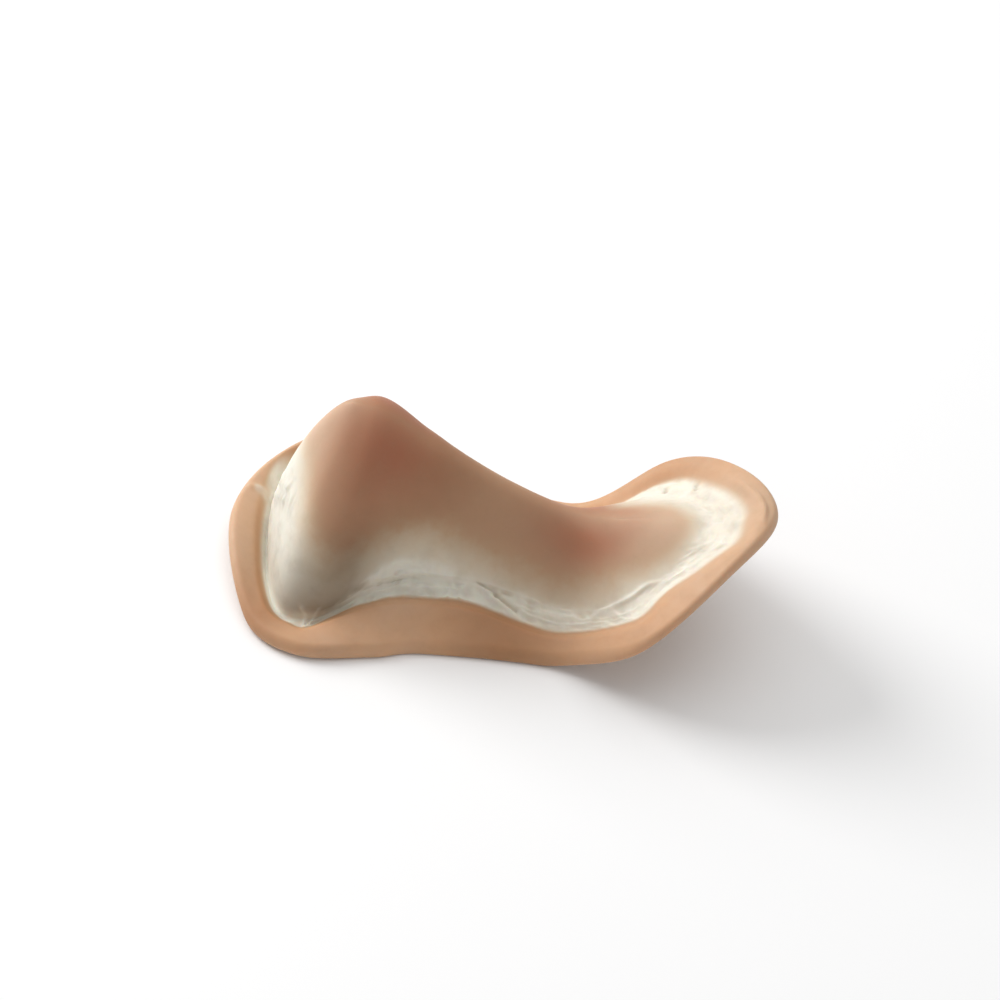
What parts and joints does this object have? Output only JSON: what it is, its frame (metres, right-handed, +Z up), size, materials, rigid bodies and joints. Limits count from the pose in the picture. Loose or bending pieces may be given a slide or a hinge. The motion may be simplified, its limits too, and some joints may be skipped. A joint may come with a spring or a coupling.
{
  "type": "prosthetic nose",
  "caption": "Soft hollow prosthetic nose in one moulding: a high-tipped nose body, a thin wrinkled blending film round its foot and a thicker flange, worn glued over a nose.",
  "frame": {"origin": "on the resting plane, under the middle of the outline", "axes": "+X towards the brow end, -X towards the lip end, +Z up, away from the wearer's face"},
  "size_m": [0.0882, 0.0518, 0.0329],
  "materials": {
    "skin_silicone": "satin skin-toned silicone, slightly translucent, whitish where it thins to the film"
  },
  "bodies": {
    "root": {"nose_shell": "skin_silicone"}
  },
  "joints": []
}
